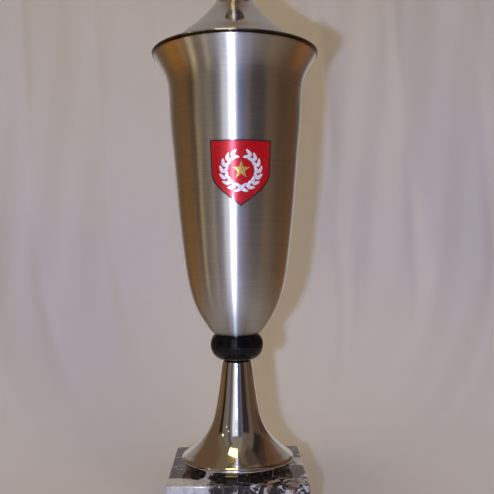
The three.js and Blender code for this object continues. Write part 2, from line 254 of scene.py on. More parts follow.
# %% Node helpers
class Nodes:
    """Short names for making and linking nodes in one tree."""

    def __init__(self, tree):
        self.tree = tree

    def add(self, kind, **settings):
        node = self.tree.nodes.new(kind)
        for key, value in settings.items():
            setattr(node, key, value)
        return node

    def link(self, source, target):
        self.tree.links.new(source, target)

    def feed(self, socket, value):
        """Links value if it is a socket, and otherwise sets it."""
        if isinstance(value, bpy.types.NodeSocket):
            self.link(value, socket)
        else:
            socket.default_value = value

    def math(self, operation, a, b=0.0, c=0.0):
        node = self.add("ShaderNodeMath", operation=operation)
        for socket, value in zip(node.inputs, (a, b, c)):
            self.feed(socket, value)
        return node.outputs[0]

    def vector(self, operation, a, b=(0, 0, 0)):
        node = self.add("ShaderNodeVectorMath", operation=operation)
        self.feed(node.inputs[0], a)
        self.feed(node.inputs[1], b)
        return node.outputs["Value"] if operation in ("LENGTH", "DISTANCE") else node.outputs[0]

    def scaled(self, vector, factor):
        node = self.add("ShaderNodeVectorMath", operation="SCALE")
        self.feed(node.inputs[0], vector)
        self.feed(node.inputs["Scale"], factor)
        return node.outputs[0]

    def here(self):
        """The point's place on the object, in metres."""
        return self.add("ShaderNodeTexCoord").outputs["Object"]

    def parts(self, vector):
        """The three numbers of a vector."""
        node = self.add("ShaderNodeSeparateXYZ")
        self.link(vector, node.inputs[0])
        return node.outputs

    def span(self, value, low, high, to_low=0.0, to_high=1.0):
        """A smooth step of value from low to high."""
        node = self.add("ShaderNodeMapRange", interpolation_type="SMOOTHSTEP")
        for socket, number in zip(node.inputs, (value, low, high, to_low, to_high)):
            self.feed(socket, number)
        return node.outputs[0]

    def mix(self, factor, a, b):
        """Colour a where factor is 0, and colour b where it is 1."""
        node = self.add("ShaderNodeMix", data_type="RGBA")
        self.feed(node.inputs["Factor"], factor)
        self.feed(node.inputs[6], a)
        self.feed(node.inputs[7], b)
        return node.outputs[2]

    def noise(self, vector, scale, detail=3.0, roughness=0.5):
        node = self.add("ShaderNodeTexNoise")
        self.feed(node.inputs["Vector"], vector)
        self.feed(node.inputs["Scale"], scale)
        self.feed(node.inputs["Detail"], detail)
        self.feed(node.inputs["Roughness"], roughness)
        return node.outputs

    def group(self, tree, **values):
        node = self.add("ShaderNodeGroup", node_tree=tree)
        for key, value in values.items():
            self.feed(node.inputs[key.replace("_", " ")], value)
        return node.outputs


def new_group(name, inputs, outputs):
    """An empty node group with float sockets, and its helper."""
    tree = bpy.data.node_groups.new(name, "ShaderNodeTree")
    for socket, value in inputs.items():
        made = tree.interface.new_socket(socket, in_out="INPUT", socket_type="NodeSocketFloat")
        made.default_value = value
    for socket in outputs:
        tree.interface.new_socket(socket, in_out="OUTPUT", socket_type="NodeSocketFloat")
    n = Nodes(tree)
    return tree, n, n.add("NodeGroupInput").outputs, n.add("NodeGroupOutput").inputs


# %% [markdown]
# ### Lathe lines
#
# Brushing a bowl on the lathe leaves thousands of fine rings. A noise does it if its coordinates change
# fast along the profile and slowly around it: v times the number of lines in a metre, beside x and y
# times a small number. Using x and y, and not u, leaves no seam where the turn closes.

# %% Lathe lines group
lathe_lines, n, given, out = new_group(
    "lathe lines", {"Lines per metre": 4000.0, "Breaks": 30.0, "Detail": 4.0}, ["Lines", "Bands"]
)
along = n.parts(n.add("ShaderNodeUVMap", uv_map="wrap").outputs[0])[1]
place = n.parts(n.here())


def line_vector(lines, breaks):
    """Coordinates that stretch a noise into rings."""
    node = n.add("ShaderNodeCombineXYZ")
    for socket, value, times in zip(node.inputs, (place[0], place[1], along), (breaks, breaks, lines)):
        n.link(n.math("MULTIPLY", value, times), socket)
    return node.outputs[0]


fine = n.noise(line_vector(given["Lines per metre"], given["Breaks"]), 1.0, given["Detail"], 0.65)
broad_lines = n.math("MULTIPLY", given["Lines per metre"], 0.06)
broad = n.noise(line_vector(broad_lines, 6.0), 1.0, 2.0)
n.link(fine["Fac"], out["Lines"])
n.link(broad["Fac"], out["Bands"])
print("made", lathe_lines.name)

# %% [markdown]
# ### Smudges and specks
#
# Polished metal, lacquer and stone are handled: fingers leave soft patches where the gloss drops a
# little, and dust leaves sharp little specks. Smudges are a cloudy noise pulled apart by a second one.
# Specks are the cores of Voronoi cells, thinned out so that only a few cells have one.

# %% Smudge and speck groups
smudges, n, given, out = new_group("smudges", {"Scale": 60.0, "Cover": 0.4}, ["Smudge"])
here = n.here()
drift = n.scaled(n.noise(here, given["Scale"], 2.0)["Color"], 0.02)
cloud = n.noise(n.vector("ADD", here, drift), given["Scale"], 5.0, 0.6)["Fac"]
edge = n.math("SUBTRACT", 0.72, n.math("MULTIPLY", given["Cover"], 0.4))
n.link(n.span(cloud, edge, n.math("ADD", edge, 0.16)), out["Smudge"])

specks, n, given, out = new_group("specks", {"Per metre": 500.0, "Share": 0.1, "Size": 0.12}, ["Speck"])
cells = n.add("ShaderNodeTexVoronoi")
n.link(n.here(), cells.inputs["Vector"])
n.link(given["Per metre"], cells.inputs["Scale"])
pick = n.add("ShaderNodeSeparateColor")
n.link(cells.outputs["Color"], pick.inputs[0])
chosen = n.math("LESS_THAN", pick.outputs[0], given["Share"])
spot_size = n.math("MULTIPLY", given["Size"], n.math("ADD", pick.outputs[1], 0.4))
spot = n.math("LESS_THAN", cells.outputs["Distance"], spot_size)
n.link(n.math("MULTIPLY", chosen, spot), out["Speck"])
print("made", smudges.name, "and", specks.name)


# %% A material to start from
def new_material(name):
    """A material with an empty Principled BSDF: (material, node helper, shader inputs)."""
    material = bpy.data.materials.new(name)
    material.use_nodes = True
    tree = material.node_tree
    tree.nodes.clear()
    n = Nodes(tree)
    shader = n.add("ShaderNodeBsdfPrincipled")
    n.link(shader.outputs[0], n.add("ShaderNodeOutputMaterial").inputs[0])
    return material, n, shader.inputs


def shade(colour, factor=1.0, lift=0.0):
    """A colour made darker or lighter, with its alpha."""
    return tuple(min(c * factor + lift, 1) for c in colour) + (1,)


def surface(n, shader, colour, roughness, **plain):
    """Feeds the shader's colour and roughness, and sets its sockets that are the same all over."""
    n.feed(shader["Base Color"], colour)
    n.feed(shader["Roughness"], roughness)
    for key, value in plain.items():
        shader[key.replace("_", " ")].default_value = value


def lathe_spread(n, shader, amount):
    """Spreads the reflections along the axis: the tangent runs round it, turned by a quarter."""
    shader["Anisotropic"].default_value = amount
    shader["Anisotropic Rotation"].default_value = 0.25
    tangent = n.add("ShaderNodeTangent", direction_type="RADIAL", axis="Z")
    n.link(tangent.outputs[0], shader["Tangent"])


def bump(n, shader, height, strength, distance=0.0002):
    """Bends the shader's normal by a height."""
    node = n.add("ShaderNodeBump")
    n.feed(node.inputs["Height"], height)
    n.feed(node.inputs["Strength"], strength)
    n.feed(node.inputs["Distance"], distance)
    n.link(node.outputs[0], shader["Normal"])


# %% [markdown]
# ## Brushed steel
#
# The bowl is stainless steel brushed on the lathe with an abrasive pad. Each ring of scratches spreads
# light up and down but hardly sideways, which is why a lamp becomes a tall bright streak. Blender does
# this with the Anisotropic input. The tangent runs around the axis, and a quarter turn of Anisotropic
# Rotation sends the spread along the axis. The rings themselves show as faint lines in the colour, the
# roughness and the bump.


# %% Brushed steel
def brushed_steel(name, colour, roughness, anisotropy, lines, depth):
    material, n, shader = new_material(name)
    marks = n.group(lathe_lines, Lines_per_metre=lines, Breaks=14.0, Detail=3.0)
    smudge = n.group(smudges, Scale=38.0, Cover=0.35)["Smudge"]
    rings = n.mix(n.span(marks["Lines"], 0.3, 0.7), shade(colour, 0.93), shade(colour, 1.06))
    rough = n.span(marks["Lines"], 0.25, 0.75, roughness * 0.94, roughness * 1.06)
    rough = n.math("MULTIPLY_ADD", smudge, 0.03, rough)
    surface(n, shader, rings, rough, Metallic=1.0)
    lathe_spread(n, shader, anisotropy)
    height = n.math("ADD", marks["Lines"], n.math("MULTIPLY", marks["Bands"], 1.5))
    bump(n, shader, height, depth, 0.0001)
    return material


bowl_steel = brushed_steel("bowl brushed steel", (0.565, 0.55, 0.525), 0.31, 1.0, 1900.0, 0.02)
print("made", bowl_steel.name)

# %% [markdown]
# ## Polished plate
#
# The foot, the lid and the small metal pieces are polished after spinning. Polishing leaves a mirror
# with a faint ripple from the spinning roller, a few hairline rings and some greasy marks. The ripple is
# a bump of very small height and long wavelength, which makes the reflections swim a little. Under the
# lid's rolled rim the colour turns dark below a step in the height: painted shade for the shadowed gap
# between the rim and the bowl's lip.


# %% Polished plate
def polished_plate(name, colour, roughness, ripple, rim_shade_heights=None):
    """Painted shade darkens the plate below rim_shade_heights, two heights in millimetres, if they are
    given.
    """
    material, n, shader = new_material(name)
    marks = n.group(lathe_lines, Lines_per_metre=1800.0, Breaks=10.0, Detail=3.0)
    smudge = n.group(smudges, Scale=70.0, Cover=0.3)["Smudge"]
    speck = n.group(specks, Per_metre=420.0, Share=0.06, Size=0.1)["Speck"]
    clean = n.mix(n.span(marks["Lines"], 0.35, 0.65), shade(colour, 0.95), shade(colour))
    plate_colour = n.mix(n.math("MULTIPLY", speck, 0.35), clean, (0.35, 0.33, 0.3, 1))
    if rim_shade_heights:
        # Painted shade: below the two heights the plate turns near black, for the shadow under the lid's
        # rim.
        clear = n.span(n.parts(n.here())[2], rim_shade_heights[0] * MM, rim_shade_heights[1] * MM)
        plate_colour = n.mix(clear, (0.035, 0.024, 0.02, 1), plate_colour)
    rough = n.math("MULTIPLY_ADD", smudge, 0.025, roughness)
    surface(n, shader, plate_colour, n.math("MULTIPLY_ADD", speck, 0.3, rough), Metallic=1.0)
    height = n.math("MULTIPLY_ADD", marks["Lines"], 0.05, marks["Bands"])
    bump(n, shader, height, ripple, 0.0002)
    return material


foot_chrome = polished_plate("foot polished plate", (0.7, 0.68, 0.66), 0.07, 0.015)
# Painted shade just above the lid's lowest point, for the shadowed gap under its rolled rim.
lid_rim_shade = (lid_z + 0.75, lid_z + 1.25)
lid_chrome = polished_plate("lid polished plate", (0.62, 0.58, 0.53), 0.1, 0.02, lid_rim_shade)
print("made", foot_chrome.name, "and", lid_chrome.name)

# %% [markdown]
# ## Black knop resin
#
# The knop is a turned plastic ball, dyed through and buffed to a wet shine. It is nearly black, so all
# that shows is its mirror coat, a few hairlines from the buffing wheel and a little dust.


# %% Black resin
def black_resin(name):
    material, n, shader = new_material(name)
    marks = n.group(lathe_lines, Lines_per_metre=2600.0, Breaks=16.0, Detail=2.0)
    smudge = n.group(smudges, Scale=110.0, Cover=0.3)["Smudge"]
    speck = n.group(specks, Per_metre=650.0, Share=0.1, Size=0.1)["Speck"]
    swirl = n.noise(n.here(), 55.0, 3.0, 0.5)["Fac"]
    body = n.mix(n.span(swirl, 0.4, 0.7), (0.0015, 0.0016, 0.0025, 1), (0.004, 0.004, 0.005, 1))
    dusty = n.mix(n.math("MULTIPLY", speck, 0.5), body, (0.2, 0.19, 0.18, 1))
    rough = n.math("MULTIPLY_ADD", smudge, 0.05, 0.03)
    rough = n.math("MULTIPLY_ADD", n.span(marks["Lines"], 0.6, 0.75), 0.02, rough)
    surface(n, shader, dusty, n.math("MULTIPLY_ADD", speck, 0.3, rough), Specular_IOR_Level=0.22)
    bump(n, shader, marks["Bands"], 0.03)
    return material


knop_resin = black_resin("knop black resin")
print("made", knop_resin.name)

# %% [markdown]
# ## Veined stone
#
# The plinth is a breccia marble: a nearly black ground, zones of broken brown, pink and black pieces, a
# few large cream pieces and white veins that healed the cracks, sawn to a block and polished to a
# mirror. A three-dimensional pattern suits it, because the sawn faces must agree where they meet. The
# pieces are Voronoi cells in coordinates warped by noise and the veins are cell borders. Most zones fall
# where chance puts them; a few are set, because this block has them at its front corners.


# %% Stone
LARGE_CELLS, SMALL_CELLS = 0.07, 0.34  # Voronoi cells in a millimetre
VEIN = 0.03  # a vein's half width, in cells


def veined_stone(name, cream_spots, broken_spots, dark_spots):
    """Each spot is a middle and a radius in millimetres, where a zone is added or kept away."""
    material, n, shader = new_material(name)
    here = n.scaled(n.here(), 1 / MM)
    warp = n.vector("SUBTRACT", n.noise(here, 0.06, 5.0, 0.62)["Color"], (0.5, 0.5, 0.5))
    bent = n.vector("ADD", here, n.scaled(warp, 22.0))

    def cells(scale, feature):
        node = n.add("ShaderNodeTexVoronoi", feature=feature)
        n.link(bent, node.inputs["Vector"])
        node.inputs["Scale"].default_value = scale
        return node.outputs

    def drawn(scale):
        """One random number for each cell."""
        split = n.add("ShaderNodeSeparateColor")
        n.link(cells(scale, "F1")["Color"], split.inputs[0])
        return split.outputs[0]

    def zones(share, spots, taken_away):
        """1 inside the zones: the cells that chance picks, with set spots added or taken away."""
        zone = n.math("GREATER_THAN", drawn(LARGE_CELLS), 1 - share)
        for spot, size in spots:
            near = n.span(n.vector("DISTANCE", bent, spot), size * 1.06, size * 0.94)
            zone = n.math("MAXIMUM", zone, near)
        for spot, size in taken_away:
            far = n.span(n.vector("DISTANCE", bent, spot), size * 0.94, size * 1.06)
            zone = n.math("MULTIPLY", zone, far)
        return zone

    mottle = n.noise(bent, 0.35, 7.0, 0.7)["Fac"]
    colour = n.mix(n.span(mottle, 0.35, 0.75), (0.0045, 0.004, 0.0055, 1), (0.03, 0.022, 0.02, 1))
    ramp = n.add("ShaderNodeValToRGB")
    ramp.color_ramp.interpolation = "CONSTANT"
    stops = [
        (0.0, (0.008, 0.006, 0.007, 1)), (0.3, (0.12, 0.065, 0.045, 1)), (0.48, (0.02, 0.013, 0.012, 1)),
        (0.62, (0.27, 0.16, 0.12, 1)), (0.78, (0.01, 0.01, 0.012, 1)), (0.9, (0.5, 0.45, 0.4, 1)),
    ]
    while len(ramp.color_ramp.elements) < len(stops):
        ramp.color_ramp.elements.new(0.5)
    for element, stop in zip(ramp.color_ramp.elements, stops):
        element.position, element.color = stop
    n.link(drawn(SMALL_CELLS), ramp.inputs[0])
    grain = n.mix(n.span(mottle, 0.3, 0.72), (0.45, 0.42, 0.42, 1), (1.2, 1.15, 1.1, 1))
    broken = n.add("ShaderNodeMix", data_type="RGBA", blend_type="MULTIPLY")
    broken.inputs["Factor"].default_value = 1.0
    n.link(ramp.outputs[0], broken.inputs[6])
    n.link(grain, broken.inputs[7])
    colour = n.mix(zones(0.34, broken_spots, dark_spots), colour, broken.outputs[2])
    cream = n.mix(n.span(mottle, 0.3, 0.7), (0.4, 0.35, 0.31, 1), (0.68, 0.65, 0.62, 1))
    colour = n.mix(zones(0.1, cream_spots, broken_spots + dark_spots), colour, cream)

    strength = n.span(n.noise(here, 0.09, 3.0)["Fac"], 0.45, 0.6)
    wide = n.span(cells(LARGE_CELLS, "DISTANCE_TO_EDGE")["Distance"], VEIN, 0.0)
    wide = n.math("MULTIPLY", wide, strength)
    thin = n.span(cells(SMALL_CELLS, "DISTANCE_TO_EDGE")["Distance"], VEIN, 0.0)
    thin = n.math("MULTIPLY", thin, n.span(mottle, 0.5, 0.62))
    colour = n.mix(n.math("MULTIPLY", wide, 0.9), colour, (0.66, 0.63, 0.6, 1))
    colour = n.mix(n.math("MULTIPLY", thin, 0.75), colour, (0.6, 0.57, 0.55, 1))
    speck = n.group(specks, Per_metre=380.0, Share=0.08, Size=0.1)["Speck"]
    colour = n.mix(n.math("MULTIPLY", speck, 0.4), colour, (0.4, 0.38, 0.36, 1))
    smudge = n.group(smudges, Scale=45.0, Cover=0.4)["Smudge"]
    rough = n.math("MULTIPLY_ADD", smudge, 0.06, 0.05)
    rough = n.math("MULTIPLY_ADD", wide, 0.1, rough)
    surface(n, shader, colour, n.math("MULTIPLY_ADD", speck, 0.3, rough), IOR=1.56)
    bump(n, shader, n.math("SUBTRACT", mottle, n.math("MULTIPLY", wide, 0.5)), 0.02)
    return material


plinth_stone = veined_stone(
    "plinth veined stone",
    cream_spots=[((-33, -43, 27), 17.5), ((-30, -40, 12), 12.0), ((-36, 8, 20), 9.0)],
    broken_spots=[((27, -40, 22), 17.0), ((38, -8, 12), 13.0), ((-10, 40, 14), 15.0)],
    dark_spots=[((-1, -38, 27), 13.0), ((4, -42, 10), 12.0)],
)
print("made", plinth_stone.name)

# %% [markdown]
# ## The small finishes
#
# Zinc-plated hardware is a dull metal with a faint crystalline bloom. Felt is a mat of fibres, which
# a fine noise gives in colour and height, with sheen for the fuzz. The washer under the nut is nylon and
# the gasket is rubber; both only need a soft, slightly uneven skin.


# %% Zinc, felt, nylon and rubber
def zinc_plate(name):
    material, n, shader = new_material(name)
    bloom = n.noise(n.here(), 420.0, 4.0, 0.6)["Fac"]
    colour = n.mix(n.span(bloom, 0.35, 0.65), (0.3, 0.31, 0.33, 1), (0.5, 0.5, 0.5, 1))
    surface(n, shader, colour, n.span(bloom, 0.3, 0.7, 0.28, 0.45), Metallic=1.0)
    bump(n, shader, bloom, 0.08, 0.0001)
    return material


def soft_skin(name, colour, roughness, scale, depth, sheen=0.0):
    material, n, shader = new_material(name)
    grain = n.noise(n.here(), scale, 6.0, 0.7)["Fac"]
    uneven = n.mix(n.span(grain, 0.3, 0.7), shade(colour, 0.6), shade(colour))
    rough = n.span(grain, 0.3, 0.7, roughness * 0.85, roughness)
    surface(n, shader, uneven, rough, Sheen_Weight=sheen)
    bump(n, shader, grain, depth, 0.0003)
    return material


zinc = zinc_plate("zinc plate")
pad_felt = soft_skin("pad felt", (0.03, 0.031, 0.03), 0.98, 2600.0, 0.6, sheen=0.4)
washer_nylon = soft_skin("washer nylon", (0.66, 0.65, 0.58), 0.5, 900.0, 0.05)
gasket_rubber = soft_skin("gasket rubber", (0.022, 0.022, 0.022), 0.85, 700.0, 0.1)
print("made", [m.name for m in (zinc, pad_felt, washer_nylon, gasket_rubber)])

# %% [markdown]
# ## Printed foil
#
# The shield is a self-adhesive label: ink on brushed foil under a clear film. The foil shows through,
# so the label takes the same tall streak as the steel, only tinted. Its metallic value is therefore part
# way, its anisotropy matches the bowl's and a clear coat lies on top.


# %% Printed foil
def printed_foil(name, colour, metallic, roughness):
    material, n, shader = new_material(name)
    marks = n.group(lathe_lines, Lines_per_metre=5200.0, Breaks=22.0, Detail=4.0)
    ink = n.noise(n.here(), 900.0, 3.0, 0.6)["Fac"]
    uneven = n.mix(n.span(ink, 0.3, 0.7), shade(colour, 0.86), shade(colour, 1.12, 0.004))
    rough = n.span(marks["Lines"], 0.3, 0.7, roughness * 0.85, roughness * 1.1)
    surface(n, shader, uneven, rough, Metallic=metallic, Coat_Weight=0.15, Coat_Roughness=0.08)
    lathe_spread(n, shader, 0.8)
    bump(n, shader, ink, 0.02, 0.0001)
    return material


red_ink = printed_foil("badge red ink", (0.6, 0.003, 0.008), 0.3, 0.32)
white_ink = printed_foil("badge white ink", (0.82, 0.82, 0.84), 0.25, 0.34)
gold_ink = printed_foil("badge gold ink", (0.72, 0.47, 0.13), 0.7, 0.3)
black_ink = printed_foil("badge black ink", (0.02, 0.012, 0.014), 0.1, 0.35)
print("made", [m.name for m in (red_ink, white_ink, gold_ink, black_ink)])

# %% [markdown]
# ## The plinth
#
# A sawn block with its edges eased and a counterbore underneath for the nut. As a grid it is a profile
# carried round a square: each column runs from the rod's hole out over the top, down a side, back under
# to the counterbore and up inside it. Near the axis the columns stand on circles, and outside they stand
# on the square, so a blend factor turns one into the other.


# %% Plinth block
def square_and_circle(columns):
    """Unit directions of a circle, and the matching points of a square of half-side 1."""
    a = (np.arange(columns) + 0.5) * 2 * math.pi / columns
    circle = np.stack([np.cos(a), np.sin(a)], 1)
    return circle, circle / np.abs(circle).max(axis=1)[:, None]


def plinth_mesh(name, half, bottom, top, hole, recess, recess_top, ease=0.9, columns=SHELL_COLUMNS):
    """Rows of (reach, height, squareness); a point is reach times the blended unit shape."""
    circle, square = square_and_circle(columns)
    tight = 0.06
    round_top = arc((half - ease, top - ease), (ease, ease), 90, 0, 7)
    round_low = arc((half - ease, bottom + ease), (ease, ease), 0, -90, 7)
    rows = [(hole, top, 0), (hole + 4, top, 0), (half - ease - tight, top, 1)]
    rows += [(r, z, 1) for r, z in round_top]
    rows += [(half, top - ease - tight, 1), (half, bottom + ease + tight, 1)]
    rows += [(r, z, 1) for r, z in round_low]
    rows += [(half - ease - tight, bottom, 1), (recess + 1, bottom, 0), (recess, bottom, 0)]
    rows += [(recess, recess_top, 0), (hole, recess_top, 0)]
    rows = np.array(rows[::-1], float)
    reach, height, squareness = rows[:, 0:1, None], rows[:, 1:2], rows[:, 2:3, None]
    flat = reach * (squareness * square[None] + (1 - squareness) * circle[None])
    # A corner's vertical edge is rounded like the others: points beyond the rounding are drawn in.
    inner = np.maximum(reach * squareness - ease, 0)
    over = np.maximum(np.abs(flat) - inner, 0)
    length = np.maximum(np.linalg.norm(over, axis=2, keepdims=True), 1e-9)
    limit = np.minimum(1, ease / length)
    corner = (over.min(axis=2, keepdims=True) > 0) & (squareness == 1)
    flat = np.where(corner, np.sign(flat) * (inner + over * limit), flat)
    heights = np.broadcast_to(height, flat.shape[:2])
    return grid_mesh(name, np.concatenate([flat, heights[:, :, None]], 2), True)


ROD_HOLE = 3.4
RECESS, RECESS_TOP = 12.0, 12.5  # the counterbore's radius and the height of its ceiling
stone_low, stone_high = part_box("marble_base")
block = plinth_mesh(
    "plinth_block", stone_high.x / MM, stone_low.z / MM, stone_high.z / MM, ROD_HOLE, RECESS, RECESS_TOP
)
piece(block, plinth_stone, "trophy", "stone", "marble_base")
print("plinth", round((stone_high.x - stone_low.x) / MM, 1), "mm across")

# %% [markdown]
# ## The felt pads
#
# Four discs of self-adhesive felt keep the stone off the table. A cut felt disc has a soft edge that
# bulges a little, so its profile is a low stack with a rounded side.

# %% Felt pads
for number in range(1, 5):
    node = f"felt_pad_{number}"
    low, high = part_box(node)
    radius = (high.x - low.x) / 2 / MM
    thick = (high.z - low.z) / MM
    side = arc((radius - 0.6, thick / 2), (0.6, thick / 2), -90, 90, 9)
    disc = turned(node + "_cut", [(0, 0), *side, (0, thick)], low.z / MM, 64)
    move = Vector(((low.x + high.x) / 2, (low.y + high.y) / 2, 0))
    disc.transform(Matrix.Translation(move))
    piece(disc, pad_felt, "trophy", "felt", node)
print("pads", round(2 * radius, 1), "mm across and", round(thick, 1), "mm thick")

# %% [markdown]
# ## The trumpet foot
#
# Sheet metal spun over a former: a tucked-in skirt that stands on the stone, a rolled rim that catches
# the light, and a long flare up to a rounded shoulder under the knop. The wall is the same profile moved
# inwards by the sheet's thickness.

# %% Foot
SHEET = 0.8


def capped(line, inner, hole, height):
    """A shell's closed section: up the outer line, in to the hole, down through it and back inside."""
    inner[-1, 1] = height - SHEET
    return np.concatenate([line, [(hole, height), (hole, height - SHEET)], inner[::-1]])


foot_points = [
    (31.2, 0), (31.9, 1.6), (33.1, 3.7), (33.88, 5.3), (33.3, 6.5), (31.6, 7.9), (28.9, 10),
    (24.45, 13.75), (20.4, 17.9), (16.85, 23), (14.1, 30), (12.1, 40), (10.6, 50), (9.4, 59), (8.9, 62),
]
foot_height = top_of("foot_shell") - foot_of("foot_shell")
shoulder = arc((6.9, foot_height - 2), (2, 2), 12, 90, 8)
foot_line = np.concatenate([spline(foot_points, 150), shoulder])
foot_inner = beside(foot_line, SHEET)
foot_inner[0, 1] = 0
foot_section = capped(foot_line, foot_inner, ROD_HOLE, foot_height)
foot = turned("foot_spun", foot_section, foot_of("foot_shell"))
piece(foot, foot_chrome, "trophy", "polished_metal", "foot_shell")
print("foot", round(foot_height, 1), "mm tall, widest", round(2 * foot_line[:, 0].max(), 1), "mm")

# %% [markdown]
# ## The bowl
#
# The bowl is spun from one disc: a small flat bottom, a belly that tapers up for most of its height, and
# a mouth that flares out in the last few centimetres. Its lip is rounded over, and the knop, the
# label and the lid all follow its outer line, so that line is kept.

# %% Bowl
bowl_points = [
    (9, 0), (13.4, 2.5), (18.2, 8), (23.4, 16), (28.1, 28), (31.8, 48), (35.2, 78),
    (38.2, 113), (40.3, 142), (42, 157.5), (45.6, 165), (49.4, 171.2),
]
bowl_line = spline(bowl_points, 190)
bowl_section = wall(bowl_line, SHEET)
bowl_section[-1] = (bowl_points[0][0] - SHEET / 2, SHEET)
bowl_section = np.concatenate([[(ROD_HOLE, 0)], bowl_section, [(ROD_HOLE, SHEET)]])
bowl = turned("bowl_spun", bowl_section, bowl_z, SHELL_COLUMNS)
piece(bowl, bowl_steel, "trophy", "brushed_metal", "bowl")
print("bowl mouth", round(2 * bowl_line[-1, 0], 1), "mm across")

# %% [markdown]
# ## The knop
#
# A squashed ball of black resin with a flat foot and a dished top, where the bowl's bottom sits. Its
# side is half an ellipse around a core, and the dish is the bowl's own line moved out by the clearance.

# %% Knop
KNOP_CORE, KNOP_BULGE, KNOP_HALF, SEAT_GAP = 7.7, 8.5, 9.2, 0.3
knop_z = foot_of("knop")
seat_line = beside(bowl_line, -SEAT_GAP) + (0, bowl_z - knop_z)
bulge = arc((KNOP_CORE, KNOP_HALF), (KNOP_BULGE, KNOP_HALF), -90, 42.5, 60)
dish = seat_line[(seat_line[:, 0] < bulge[-1, 0] - SEAT_GAP) & (seat_line[:, 1] < bulge[-1, 1])]
floor_z = dish[0, 1] - 0.5
knop_section = np.concatenate(
    [[(ROD_HOLE, 0)], bulge, dish[::-1], [(dish[0, 0], floor_z), (ROD_HOLE, floor_z)]]
)
knop = turned("knop_turned", knop_section, knop_z)
piece(knop, knop_resin, "trophy", "black_resin", "knop")
print("knop", round(2 * bulge[:, 0].max(), 1), "mm across")

# %% [markdown]
# ## The lid
#
# Spun like the foot: a rolled bead that rests on the bowl's lip, then a cone that sweeps up in a hollow
# curve to a narrow neck. Inside it a plain collar drops into the mouth and keeps the lid centred.

# %% Lid and collar
lid_points = [
    (48.65, 2.1), (45.6, 2.5), (42.5, 3.5), (40.1, 5.2), (37.8, 7.2), (33.5, 11.2), (27.5, 16.2),
    (20.9, 22.2), (15.4, 28.2), (11.7, 33.2), (10.1, 38), (9.2, 43.5), (8.8, 47.5),
]
STUD_HOLE = 2.4
lid_height = top_of("lid_shell") - lid_z
bead = arc((49.59, 1.05), (1.05, 1.05), -162, 88, 24)
lid_shoulder = arc((7.3, lid_height - 1.5), (1.5, 1.5), 10, 90, 7)
lid_line = np.concatenate([spline(lid_points, 170), lid_shoulder])
lid_inner = beside(lid_line, SHEET)
lid_section = np.concatenate([bead, capped(lid_line, lid_inner, STUD_HOLE, lid_height)])
lid = turned("lid_spun", lid_section, lid_z, SHELL_COLUMNS)
piece(lid, lid_chrome, "lid", "polished_metal", "lid_shell")

MOUTH_GAP, LID_GAP = 0.6, 0.4  # from the collar to the bowl's wall, and to the lid above it
collar_low, collar_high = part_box("lid_collar")
collar_z = collar_low.z / MM
flange = collar_high.x / MM
collar_wall = np.interp(collar_z - bowl_z, bowl_line[:, 1], bowl_line[:, 0]) - SHEET - MOUTH_GAP


def under_lid(radius):
    """Height of the collar's top at a radius: the lid's inner line, less a clearance."""
    return lid_z - collar_z + np.interp(-radius, -lid_inner[:, 0], lid_inner[:, 1]) - LID_GAP


collar_section = [
    (collar_wall - SHEET, 0.3),
    (collar_wall - SHEET / 2, 0),
    (collar_wall, 0.3),
    (collar_wall, under_lid(collar_wall) - SHEET),
    (flange, under_lid(flange) - SHEET),
    (flange, under_lid(flange)),
    (collar_wall - SHEET, under_lid(collar_wall - SHEET)),
]
collar = turned("lid_collar_ring", collar_section, collar_z)
piece(collar, zinc, "lid", "zinc_steel", "lid_collar")
print("lid", round(lid_height, 1), "mm tall, collar", round(2 * collar_wall, 1), "mm across")

# %% [markdown]
# ## The finial
#
# A small polished bead and a tip finish the lid. The bead echoes the knop's shape; the tip is a slim
# turned baluster that ends in a bud.

# %% Finial
bead_height = top_of("finial_knob") - foot_of("finial_knob")
finial_bulge = arc((5.5, bead_height / 2), (5.0, bead_height / 2), -90, 90, 48)
finial_section = [(STUD_HOLE, 0), *finial_bulge, (STUD_HOLE, bead_height)]
finial_ball = turned("finial_bead", finial_section, foot_of("finial_knob"), 128)
piece(finial_ball, lid_chrome, "lid", "polished_metal", "finial_knob")
tip_height = top_of("finial_tip") - foot_of("finial_tip")
tip_waist = [(3.7, 2.3), (3.0, 3.4), (2.85, 4.6), (3.3, 6.6), (4.7, 8.8), (5.15, 10.8)]
tip_bud = [(4.5, 13.2), (3, 15.4), (1.7, 17.1), (0.75, 18.4)]
tip_bore = [(0, 8.5), (2.1, 8.5), (2.1, 0)]
tip_ring = arc((4.6, 0.6), (0.5, 0.6), -90, 90, 9)
tip_side = spline(tip_waist + tip_bud, 60)
tip_section = [*tip_bore, *tip_ring, (4.0, 1.5), *tip_side, (0.4, tip_height - 0.12), (0, tip_height)]
bud = turned("finial_bud", tip_section, foot_of("finial_tip"), 96)
piece(bud, lid_chrome, "lid", "polished_metal", "finial_tip")
print("finial", round(bead_height + tip_height, 1), "mm tall")

# %% [markdown]
# ## Rods, nuts and washers
#
# Most of this is hidden, but it shows from underneath and inside the open bowl. A thread is a cylinder
# whose radius follows a sawtooth of height minus turn, so one formula makes the whole screw. A nut's
# radius at each height is the smaller of a hexagon's and of the cone that trims its corners.


# %% Hardware shapes
def threaded_rod(name, radius, pitch, bottom, top, columns=32):
    """r = radius - depth * |2 frac(z/pitch - turn) - 1|, with blunt ends that close on the axis."""
    rows = int((top - bottom) / pitch * 6)
    z = np.linspace(bottom, top, rows)[:, None]
    a = turns(columns)[None]
    tooth = np.abs(2 * ((z / pitch - a / (2 * math.pi)) % 1) - 1)
    taper = np.clip(np.minimum(z - bottom, top - z) / pitch, 0, 1)
    r = radius * (0.86 + 0.14 * taper) - 0.3 * pitch * tooth * taper
    ends = [np.broadcast_to([0, 0, height], (1, columns, 3)) for height in (bottom, top)]
    return grid_mesh(name, np.concatenate([ends[0], round_axis(r, a, z), ends[1]]), False)


def hexagon(across, columns):
    """Radius of a hexagon at each column: half the width across flats over the cosine of the turn."""
    return across / 2 / np.cos((turns(columns) + math.pi / 6) % (math.pi / 3) - math.pi / 6)


